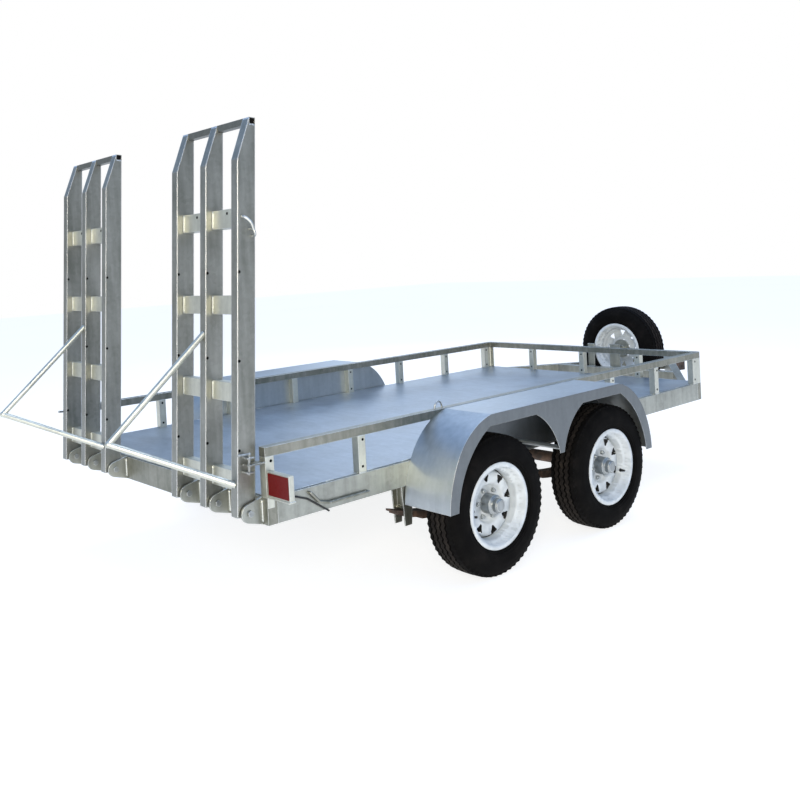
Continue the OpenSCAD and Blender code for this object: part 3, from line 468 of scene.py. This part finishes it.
# %% [markdown]
# ## Small parts
# Vent holes, weld beads, nuts and rods are each made once and then copied to their places. Places
# are typed as on the drawing of the trailer: from its middle line, from the rear face of the
# chassis and from the ground, all in millimetres. A ramp has its own drawing, with the hinge pin at
# zero and the ramp standing up straight, so its copies are leaned back with it.

# %% Where things are
rear_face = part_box("rear_crossmember")[0].y
LEAN = Matrix.Rotation(math.radians(-3.7), 4, "X")  # how far a ramp leans back
HINGE_Y, HINGE_Z = -56, 497  # the hinge pins
RAMPS = (("right", 0), ("left", -1195))  # the left ramp is the right one, moved across
WEBS = (860, 620, 380)  # the webs of a ramp's three sections
EDGES = (912, -912)  # the outer faces of the chassis
POSTS = (20, 487, 954, 1421, 1888, 2355, 2822, 3276)  # the rail posts, from the rear face
SIDES = (("right", 1), ("left", -1))  # which way is outward, along X
X, Y, Z = Vector((1, 0, 0)), Vector((0, 1, 0)), Vector((0, 0, 1))


def spot(x, y, z):
    """A place on the chassis, given in millimetres."""
    return Vector((x * MM, rear_face + y * MM, z * MM))


def ramp_spot(x, y, z):
    """A place on the right ramp, given in millimetres from its hinge pins."""
    return spot(0, HINGE_Y, HINGE_Z) + LEAN.to_3x3() @ (Vector((x, y, z)) * MM)


def along(start, end):
    """Where a piece drawn along X has to go to run from one place to another."""
    return Matrix.Translation(start) @ (end - start).to_track_quat("X", "Z").to_matrix().to_4x4()


def spread(pattern, name, places, body, material):
    """Copies a pattern to many places and makes one piece of the copies."""
    copies = [copy_of(pattern, name, place) for place in places]
    return finish_piece(join(copies, name), body, material)


print("rear face at", round(rear_face, 4))

# %% [markdown]
# Steel sections are drilled before they go in the zinc bath, so the zinc can run in and out. From a
# few steps away each vent hole is a black dot. It's modelled as a shallow dish with a thin lip, all
# painted with the black of an unlit hollow.

# %% Vent holes of the ramps
DISH = [(0.0062, 0), (0.0058, 0.0008), (0.0048, 0.0008), (0.0044, 0.0002), (1e-6, 0.0002)]
TOP_HOLES = {537: 1153, 493: 1172, 731: 1172, 784: 1153}  # across and up, in the top rung
vent = lathe("vent_pattern", DISH, 12)
for side, shift in RAMPS:
    holes = []
    for web in WEBS:
        for height in (245, 590, 935):
            at = ramp_spot(web + shift, -40, height)
            holes.append(along(at, at + X))
    for across, height in TOP_HOLES.items():
        at = ramp_spot(across + shift, -16, height)
        holes.append(along(at, at - LEAN.to_3x3() @ Y))
    spread(vent, "ramp_" + side + "_vent_holes", holes, "ramp_" + side, hollow)

# %% Vent holes of the posts
PLAIN_POSTS = (954, 1421)  # two posts on each side have no holes
POST_THICK = 40
LOW, HIGH = 578, 692  # heights of the two holes of a post
holes = []
for across in EDGES:
    for post in POSTS:
        if post in PLAIN_POSTS:
            continue
        for height, ahead in ((LOW, 0), (HIGH, 6)):
            at = spot(across, post + ahead, height)
            holes.append(along(at, at + X * across))
            at = spot(across - math.copysign(POST_THICK, across), post, height)
            holes.append(along(at, at - X * across))
for across in (-460, 0, 460):
    for height in (LOW, HIGH):
        at = spot(across, 3324, height)
        holes.append(along(at, at - Y))
spread(vent, "post_vent_holes", holes, "chassis", hollow)

# %% [markdown]
# A hand-made weld is a row of frozen ripples. A bead is turned on the lathe as a rod whose radius
# goes up and down every few millimetres, and it's sunk half its thickness into the corner.

# %% Weld beads
RIPPLE = 0.007  # from one ripple to the next
VALLEY, TAPER = 0.78, 0.35  # how thin a bead is between ripples and at its ends


def bead_pattern(length, radius):
    """A rippled rod of a length in metres, lying along X."""
    count = max(3, round(length / RIPPLE))
    rings = [(radius * TAPER, 0)]
    rings += [(radius * (1.0 if i % 2 else VALLEY), length * (i + 0.5) / count)
        for i in range(count)]
    return lathe("bead_pattern", rings + [(radius * TAPER, length)], 6)


def weld(name, runs, body, radius=0.0036):
    """Beads between pairs of places, made one piece."""
    copies = []
    for start, end in runs:
        bead = bead_pattern((end - start).length, radius)
        bead.matrix_world = along(start, end)
        copies.append(settle(bead))
    return finish_piece(join(copies, name), body, zinc_rung, crease=60)


# %% Welds of the ramps
FIRST_RUNG, RUNG_PITCH, RUNG_HALF = 116, 345, 36
for side, shift in RAMPS:
    runs = []
    for rung in range(4):
        low = FIRST_RUNG + RUNG_PITCH * rung - RUNG_HALF
        for web in WEBS[:2]:
            for across in (web - 237 + shift, web - 8 + shift):
                high = low + 2 * RUNG_HALF
                runs.append((ramp_spot(across, -17, low), ramp_spot(across, -17, high)))
    weld("ramp_" + side + "_rung_welds", runs, "ramp_" + side)

# %% Welds of the chassis


def run(x, y, z, across=0, ahead=0, up=0):
    """Both ends of a bead on the chassis, in millimetres: where it starts, and how far it goes."""
    return spot(x, y, z), spot(x + across, y + ahead, z + up)


runs = []
for side, shift in RAMPS:
    for web in WEBS:
        runs += [run(web + shift + 3, -2, 452, up=88), run(web + shift + 17, -2, 452, up=88)]
weld("lug_welds", runs, "chassis", 0.0055)
runs = []
for across in EDGES:
    outer, inner = across - math.copysign(1.5, across), across - math.copysign(11, across)
    for post in POSTS[1:-1]:
        runs += [run(outer, post - 18, 551, ahead=36), run(outer, post - 18, 709, ahead=36)]
    for stitch in range(80, 3260, 212):
        runs.append(run(inner, stitch, 552, ahead=46))
for stitch in range(-840, 840, 240):
    runs += [run(stitch, 12, 552, across=46), run(stitch, 3352, 552, across=46)]
weld("deck_and_post_welds", runs, "chassis", 0.0035)
runs = []
for across in (795, -795):
    runs += [run(across, 3367, 450, up=92), run(across * 0.925, 3367, 450, up=92)]
weld("drawbar_welds", runs, "chassis", 0.005)

# %% [markdown]
# Round bar is drawn as a wire: a curve is set to its points, given a round section, and turned to a
# mesh. That way its bends stay smooth. The trailer has a bent handle on a ramp, a small ring on
# each rail, and the U-bolts that clamp each axle to its spring.

# %% Round bar


def bar(name, points, radius):
    """A round bar through points, with smooth bends."""
    nothing_selected()
    bpy.ops.curve.primitive_bezier_curve_add(location=(0, 0, 0))
    wire = bpy.context.object
    wire.name = wire.data.name = name
    line = wire.data.splines[0]
    line.bezier_points.add(len(points) - 2)
    for knot, place in zip(line.bezier_points, points):
        knot.co = place
        knot.handle_left_type = knot.handle_right_type = "AUTO"
    line.resolution_u = 4
    wire.data.bevel_depth = radius
    wire.data.bevel_resolution = 2
    wire.data.use_fill_caps = True
    bpy.ops.object.convert(target="MESH")
    return settle(bpy.context.object)


def step(places, cut=0.012):
    """Puts two points close to each corner, so a bar bends there and stays straight between."""
    out = [places[0]]
    for before, here, after in zip(places, places[1:], places[2:]):
        out += [here + (before - here).normalized() * cut, here + (after - here).normalized() * cut]
    return out + [places[-1]]


# %% Handle of the right ramp, and its catch
HANDLE = ((861, -28, 1150), (874, -26, 1149), (888, -4, 1128), (889, 8, 1098))
CATCH = ((858, 8, 1104), (888, 8, 1100), (888, 16, 1078), (858, 18, 1076))
rod = bar("handle_rod", step([ramp_spot(*p) for p in HANDLE], 0.005), 0.006)
hook = bar("handle_catch", step([ramp_spot(*p) for p in CATCH], 0.004), 0.0045)
finish_piece(join([rod, hook], "ramp_handle"), "ramp_right", zinc_bright, crease=50)

# %% [markdown]
# The tube across the top of a ramp is open at its end, which shows as a black square. A thin plate
# of the black of an unlit hollow, with its edges bevelled, stands for it. The clamp plates under
# the axles are blocks of the same kind, so both come from one function.

# %% Hollow ends of the nose tubes


def block(name, size, rounding, segments, place):
    """A block with bevelled edges, put where the matrix says."""
    nothing_selected()
    bpy.ops.mesh.primitive_cube_add(size=1, location=(0, 0, 0))
    piece = bpy.context.object
    piece.name = piece.data.name = name
    piece.scale = size
    edit_whole(settle(piece), bpy.ops.mesh.bevel, offset=rounding, segments=segments)
    piece.matrix_world = place
    return settle(piece)


for side, shift in RAMPS:
    end = Matrix.Translation(ramp_spot(857 + shift, 18.5, 1529.5)) @ LEAN
    plug = block("ramp_" + side + "_nose_hollow", (0.002, 0.0206, 0.0206), 0.0006, 1, end)
    finish_piece(plug, "ramp_" + side, hollow)

# %% [markdown]
# A tie ring is half a loop of round bar that stands on the rail, where a strap hooks in.

# %% Tie rings
RING_X, RING_Y, RING_Z = 887, 978, 748
RING_LONG, RING_HIGH = 24, 32
for side, out in SIDES:
    turns = [math.pi * i / 6 for i in range(7)]
    loop = [spot(out * RING_X, RING_Y + RING_LONG * math.cos(a), RING_Z + RING_HIGH * math.sin(a))
        for a in turns]
    ring = bar("tie_ring_" + side, loop, 0.004)
    finish_piece(ring, "chassis", zinc_bright, crease=50)

# %% U-bolts, their nuts and plates
NUT = [(0.0125, 0), (0.0125, 0.009), (0.0105, 0.0105), (0.006, 0.0105), (0.006, 0.018),
    (1e-6, 0.018)]
U_HALF, U_LOW, U_HIGH = 36, 232, 352  # half the width of a U-bolt, and where it ends and bends
SPRINGS, AXLES = (870, -870), (1059, 1935)  # where the clamps are, across and ahead
nut = lathe("nut_pattern", NUT, 6)
clamps, nuts = [], []
for across in SPRINGS:
    for axle in AXLES:
        for ahead in (-45, 45):
            left, right = across - U_HALF, across + U_HALF
            corners = ((left, U_LOW), (left, U_HIGH), (right, U_HIGH), (right, U_LOW))
            legs = [spot(x, axle + ahead, z) for x, z in corners]
            clamps.append(bar("clamp", step(legs), 0.006))
            for leg in (legs[0], legs[3]):
                low = leg + Z * 0.012
                nuts.append(copy_of(nut, "nut", along(low, low - Z)))
        under = Matrix.Translation(spot(across, axle, 248))
        clamps.append(block("clamp_plate", (0.096, 0.128, 0.008), 0.002, 2, under))
finish_piece(join(clamps + nuts, "axle_clamps"), "chassis", brown, crease=40)

# %% [markdown]
# The hand holes of the wheel discs are rounded triangles, a little larger than the construction
# model has them. A copy of each wheel is merged, because its triangles come loose, and a cutter of
# eight rounded prisms opens the holes: three-sided cylinders with their long edges bevelled. The
# wheels of the left side are mirrored, which turns a cutter inside out, so its faces are turned
# outward again before it cuts.

# %% The shape of a hand hole
HOLE_CORNER, HOLE_ROUNDING = 0.0275, 0.0075  # from its middle to a corner, and the corner's cut
CUT_DEPTH = 0.06
nothing_selected()
bpy.ops.mesh.primitive_cylinder_add(vertices=3, radius=HOLE_CORNER, depth=CUT_DEPTH,
    location=(0, 0, 0), rotation=(0, math.pi / 2, 0))
prism = settle(bpy.context.object)
bpy.ops.object.mode_set(mode="EDIT")
bpy.ops.mesh.select_mode(type="EDGE")
bpy.ops.mesh.select_all(action="DESELECT")
bpy.ops.object.mode_set(mode="OBJECT")
for e in prism.data.edges:
    a, b = (prism.data.vertices[i].co for i in e.vertices)
    e.select = abs(a.x - b.x) > CUT_DEPTH / 2
bpy.ops.object.mode_set(mode="EDIT")
bpy.ops.mesh.bevel(offset=HOLE_ROUNDING, segments=3)
bpy.ops.object.mode_set(mode="OBJECT")
apex = min((v.co for v in prism.data.vertices), key=lambda c: c.y)
point = math.atan2(apex.z, apex.y)
print("a hand hole's cutter has", len(prism.data.polygons), "faces")

# %% [markdown]
# The barrel takes its own enamel, and the back of the disc and the walls of the holes take painted
# shade. How far a face lies from the wheel's middle, and where it looks, tells which it is.

# %% Hand holes of the wheels
HOLES, HOLE_RING = 8, 0.1245  # how many, and from the wheel's middle to a hole's
FIRST_HOLE = {"rear": 8, "front": 22.5, "spare": 0}  # how far the first is turned, in degrees
BARREL_FROM = 0.149  # all beyond this radius is barrel
HOLES_FROM, DISC_FROM = 0.095, 0.0125  # the disc's outer part, by radius and by place


def cutter_at(name, mirror):
    """Eight prisms at the hand holes of a wheel, facing outward."""
    face = Matrix.Rotation(math.pi / 2 if name == "spare_rim" else 0, 4, "Z")
    cutters = []
    for i in range(HOLES):
        turn = math.radians(FIRST_HOLE[name.split("_")[0]] + 360 / HOLES * i)
        turned = Matrix.Rotation(turn, 4, "X") @ Matrix.Translation((0, HOLE_RING, 0))
        turned = turned @ Matrix.Rotation(math.pi - point, 4, "X")
        place = Matrix.Translation(middle(name)) @ mirror @ face @ turned
        cutters.append(copy_of(prism, "cutter", place))
    cutter = join(cutters, "cutter")
    edit_whole(cutter, bpy.ops.mesh.normals_make_consistent, inside=False)
    return cutter


def shade_back_and_holes(rim, centre, outward):
    """Barrel enamel on the barrel, painted shade on the back of the disc and in the holes."""
    rim.data.materials.append(barrel)
    rim.data.materials.append(shaded_enamel)
    for f in rim.data.polygons:
        reach = f.center - centre
        out, faces_out = reach.dot(outward), f.normal.dot(outward)
        away = (reach - outward * out).length
        in_hole = away > HOLES_FROM and out > DISC_FROM and abs(faces_out) < 0.2
        if away > BARREL_FROM:
            f.material_index = 1
        elif faces_out < -0.2 or in_hole:
            f.material_index = 2


for name in [n for n in nodes if n.endswith("_rim")]:
    rim = copy_of(nodes[name], name + "_with_hand_holes", Matrix.Identity(4))
    edit_whole(rim, bpy.ops.mesh.remove_doubles, threshold=0.00001)
    mirror = Matrix.Scale(-1 if "left" in name else 1, 4, X)
    cutter = cutter_at(name, mirror)
    cut = rim.modifiers.new("holes", "BOOLEAN")
    cut.operation, cut.object, cut.solver = "DIFFERENCE", cutter, "EXACT"
    pick(rim)
    bpy.ops.object.modifier_apply(modifier="holes")
    bpy.data.objects.remove(cutter)
    body = "chassis" if name == "spare_rim" else name[:-4] + "_wheel"
    finish_piece(rim, body, enamel, [name], crease=35)
    if name != "spare_rim":
        shade_back_and_holes(rim, middle(name), mirror.to_3x3() @ X)
bpy.data.objects.remove(prism)

# %% [markdown]
# Through the holes of each wheel disc something dark shows. It's taken to be the brake drum, a
# turned cast-iron pot with a raised rim, bolted behind the disc.

# %% Brake drums
DRUM = [(0.079, -0.014), (0.128, -0.014), (0.134, -0.018), (0.134, -0.03), (0.131, -0.032),
    (0.131, -0.056), (0.136, -0.058), (0.136, -0.068), (0.06, -0.068), (0.06, -0.022),
    (0.079, -0.022), (0.079, -0.014)]
drum = lathe("drum_pattern", DRUM, 64, closed=True)


def facing_out(wheel):
    """The middle of a wheel, the way outward from it and where a piece turned for it has to go."""
    hub, out = middle(wheel + "_rim"), X if "right" in wheel else -X
    return hub, out, along(hub, hub + out)


for wheel, body in wheels.items():
    hub, out, place = facing_out(wheel)
    finish_piece(copy_of(drum, wheel + "_brake_drum", place), body, iron)

# %% [markdown]
# A tubeless wheel has a snap-in valve: a short rubber stem with a cap, which leans out of the
# barrel. The disc is pressed into the barrel, and a thin black ring round it is a painted shadow
# under the disc's edge.

# %% Valves and painted shadow rings
STEM = [(0.009, 0), (0.009, 0.004), (0.0068, 0.008), (0.0064, 0.024), (0.0055, 0.0245),
    (0.0055, 0.038), (0.004, 0.04), (1e-6, 0.04)]
# A thin black ring at the edge of the disc, a painted shadow.
SHADOW_RING = [(0.1485, -0.0048), (0.1555, -0.0048), (0.1555, -0.004), (0.1485, -0.004), (0.1485, -0.0048)]
VALVE_TURNS = {"rear_right": 188, "front_right": -20, "rear_left": 160, "front_left": 20}
VALVE_RING, VALVE_OUT = 0.158, 0.034  # where the foot of a valve is
stem = lathe("stem_pattern", STEM, 12)
shadow_ring = lathe("shadow_ring_pattern", SHADOW_RING, 64, closed=True)
for wheel, body in wheels.items():
    hub, out, place = facing_out(wheel)
    turn = math.radians(VALVE_TURNS[wheel])
    spoke = Vector((0, math.cos(turn), math.sin(turn)))
    foot = hub + spoke * VALVE_RING + out * VALVE_OUT
    valve = copy_of(stem, wheel + "_valve", along(foot, foot - spoke * 0.014 + out * 0.03))
    finish_piece(valve, body, sheath)
    finish_piece(copy_of(shadow_ring, wheel + "_disc_shadow_ring", place), body, hollow)

# %% [markdown]
# A tail lamp is an acrylic lens snapped in a rim. The lens is moulded with a grid of small prisms,
# which shows as fine lines, so a thin lattice of bars lies on it.

# %% Lamp lenses
GRID, GRID_BAR = 8, 0.0009
lamp_low, lamp_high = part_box("lamp_lenses")
face = lamp_low.y + 0.0006
outer, inner = lamp_high.x - 0.004, lamp_high.x - 0.082
bottom, top = lamp_low.z + 0.006, lamp_high.z - 0.006
lines = []
for i in range(GRID + 1):
    z = bottom + i * (top - bottom) / GRID
    lines.append(((inner, z), (outer, z)))
for i in range(GRID + 1):
    x = inner + i * (outer - inner) / GRID
    lines.append(((x, bottom), (x, top)))
for side, out in SIDES:
    rows = [bar("grid", [Vector((out * x, face, z)) for x, z in line], GRID_BAR) for line in lines]
    finish_piece(join(rows, "lens_prisms_" + side), "chassis", acrylic, crease=60)

for pattern in (nut, vent, stem, shadow_ring, drum):
    bpy.data.objects.remove(pattern)
print("small parts made")

# %% [markdown]
# ## Stage, light and camera
# A pale floor, a pale sky and three large soft lamps stand in for a bright day: the one above is a
# little blue, as the sky is on the deck, the low one on the camera's side is a little warm, and a
# weak one fills in from the far side. The floor glows a little, so that it stays pale under the
# trailer.

# %% Floor
FLOOR_SIZE, UNDER = 60, 0.0005  # the floor lies half a millimetre under the tyres
nothing_selected()
bpy.ops.mesh.primitive_plane_add(size=FLOOR_SIZE, location=(0, 0, -UNDER))
floor = bpy.context.object
floor.name = "floor"
paper, *_ = speckled("pale studio floor", 2.5, [(0.3, "a9aaab"), (0.7, "b0b1b1")], Roughness=0.9,
    Specular_IOR_Level=0.0, Emission_Color=colour("ffffff"), Emission_Strength=0.8)
floor.data.materials.append(paper)
print("floor of", FLOOR_SIZE, "m")

# %% Light


def soft_lamp(name, place, target, size, power, sheet):
    """A round lamp at a place, looking at a target: size in metres, power in watts, hex colour."""
    light = bpy.data.lights.new(name, "AREA")
    light.shape = "DISK"
    light.size = size
    light.energy = power
    light.color = colour(sheet)[:3]
    lamp = bpy.data.objects.new(name, light)
    bpy.context.scene.collection.objects.link(lamp)
    lamp.location = place
    lamp.rotation_euler = (Vector(target) - Vector(place)).to_track_quat("-Z", "Y").to_euler()
    print(name, power, "W")


soft_lamp("sky_lamp", (0.0, 0.5, 7), (0, 0, 0), 6, 330, "dfe9fa")
soft_lamp("camera_side_lamp", (5.2, -6.0, 2.6), (0.3, 0, 0.6), 2.4, 300, "fff3dc")
soft_lamp("far_lamp", (-6.5, 5.5, 3.4), (0, 0, 0.6), 4, 40, "e6f0ff")

# %% [markdown]
# The zinc mirrors the sky, so its colours matter: grey ground, a pale horizon and blue above. The
# camera itself sees plain white behind the trailer.

# %% Sky
SKY = [(0.45, "6c6a60"), (0.505, "a8a598"), (0.58, "c9d2dc"), (0.72, "a8c8f2"), (0.95, "86aee8")]
sky = bpy.data.worlds.new("pale sky")
bpy.context.scene.world = sky
sky.use_nodes = True
tree = sky.node_tree
where = add(tree, "ShaderNodeTexCoord")
split = add(tree, "ShaderNodeSeparateXYZ", [("Vector", where, "Generated")])
height = add(tree, "ShaderNodeMapRange", [("Value", split, "Z")], From_Min=-1.0, From_Max=1.0)
glow = add(tree, "ShaderNodeValToRGB", [("Fac", height, 0)], SKY)
plain = add(tree, "ShaderNodeBackground", Strength=1.0, Color=colour("ffffff"))
lit = tree.nodes["Background"]
tree.links.new(glow.outputs["Color"], lit.inputs["Color"])
lit.inputs["Strength"].default_value = 0.95
eye = add(tree, "ShaderNodeLightPath")
mix = add(tree, "ShaderNodeMixShader", [(0, eye, "Is Camera Ray"), (1, lit, 0), (2, plain, 0)])
tree.links.new(mix.outputs[0], tree.nodes["World Output"].inputs["Surface"])
bpy.context.scene.view_settings.view_transform = "Standard"
print("sky of", len(SKY), "tones")

# %% [markdown]
# The camera stands where the photographer stood. Its place, its turn and its lens were worked out
# from straight edges of the trailer whose true lengths and directions are known.

# %% Camera
PLACE = (3.7583, -3.97404, 1.452)
YAW, PITCH, ROLL = 47.5119, -1.3352, 2.9846  # in degrees
camera_data = bpy.data.cameras.new("camera")
camera = bpy.data.objects.new("camera", camera_data)
bpy.context.scene.collection.objects.link(camera)
camera_data.sensor_width = 36
camera_data.lens = 39.13
camera_data.shift_y = -0.1516
camera_data.clip_end = 200
yaw, pitch, roll = (math.radians(a) for a in (YAW, PITCH, ROLL))
ahead = Vector((-math.sin(yaw) * math.cos(pitch), math.cos(yaw) * math.cos(pitch), math.sin(pitch)))
level = Vector((math.cos(yaw), math.sin(yaw), 0))
down = ahead.cross(level)
right = level * math.cos(roll) + down * math.sin(roll)
up = level * math.sin(roll) - down * math.cos(roll)
turned = Matrix((right, up, -ahead)).transposed().to_4x4()
camera.matrix_world = Matrix.Translation(PLACE) @ turned
bpy.context.scene.camera = camera
print("camera", round(Vector(PLACE).length, 2), "m from the middle of the trailer")
